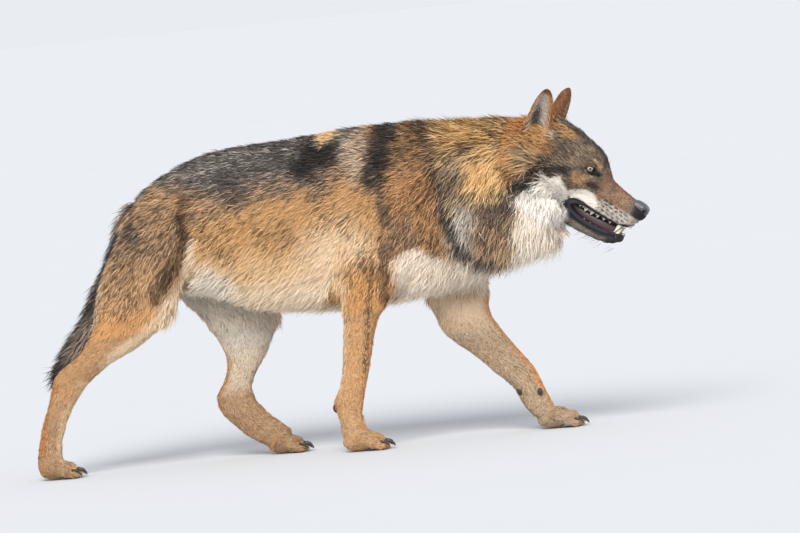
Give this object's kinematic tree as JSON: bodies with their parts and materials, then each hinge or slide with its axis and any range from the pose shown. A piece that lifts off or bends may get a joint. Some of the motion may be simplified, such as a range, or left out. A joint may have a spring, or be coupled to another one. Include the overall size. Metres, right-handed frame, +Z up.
{
  "type": "grey wolf",
  "caption": "Grey wolf in winter coat, walking, head low and turned a little, mouth open, tail hanging: a still, life-size model.",
  "frame": {"origin": "bottom centre of the whole model's box, on the floor that all the paws stand on", "axes": "+X the way the wolf walks, +Y its left side, +Z up"},
  "size_m": [1.402, 0.264, 0.7614],
  "materials": {
    "saddle": "dark grizzled winter fur of the back",
    "tan": "tan winter fur of the legs",
    "cream": "cream and grey winter fur of the face",
    "ochre": "rusty short fur of the ears",
    "dark": "blackish fur of the tail and the lower lip",
    "nose": "moist grained skin",
    "eye": "wet, clear",
    "claw": "dark horn",
    "tongue": "wet skin"
  },
  "bodies": {
    "root": {"ear_left": "ochre", "ear_right": "ochre", "eye_left": "eye", "eye_right": "eye", "head": "cream", "jaw": "dark", "nose": "nose", "tongue": "tongue", "neck": "saddle", "trunk": "saddle", "tail": "dark", "foreleg_left_upper": "tan", "foreleg_left_lower": "tan", "foreleg_left_paw": "tan", "foreleg_left_claw_1": "claw", "foreleg_left_claw_2": "claw", "foreleg_left_claw_3": "claw", "foreleg_left_claw_4": "claw", "foreleg_right_upper": "tan", "foreleg_right_lower": "tan", "foreleg_right_paw": "tan", "foreleg_right_claw_1": "claw", "foreleg_right_claw_2": "claw", "foreleg_right_claw_3": "claw", "foreleg_right_claw_4": "claw", "hindleg_left_upper": "tan", "hindleg_left_lower": "tan", "hindleg_left_paw": "tan", "hindleg_left_claw_1": "claw", "hindleg_left_claw_2": "claw", "hindleg_left_claw_3": "claw", "hindleg_left_claw_4": "claw", "hindleg_right_upper": "tan", "hindleg_right_lower": "tan", "hindleg_right_paw": "tan", "hindleg_right_claw_1": "claw", "hindleg_right_claw_2": "claw", "hindleg_right_claw_3": "claw", "hindleg_right_claw_4": "claw"}
  },
  "joints": []
}
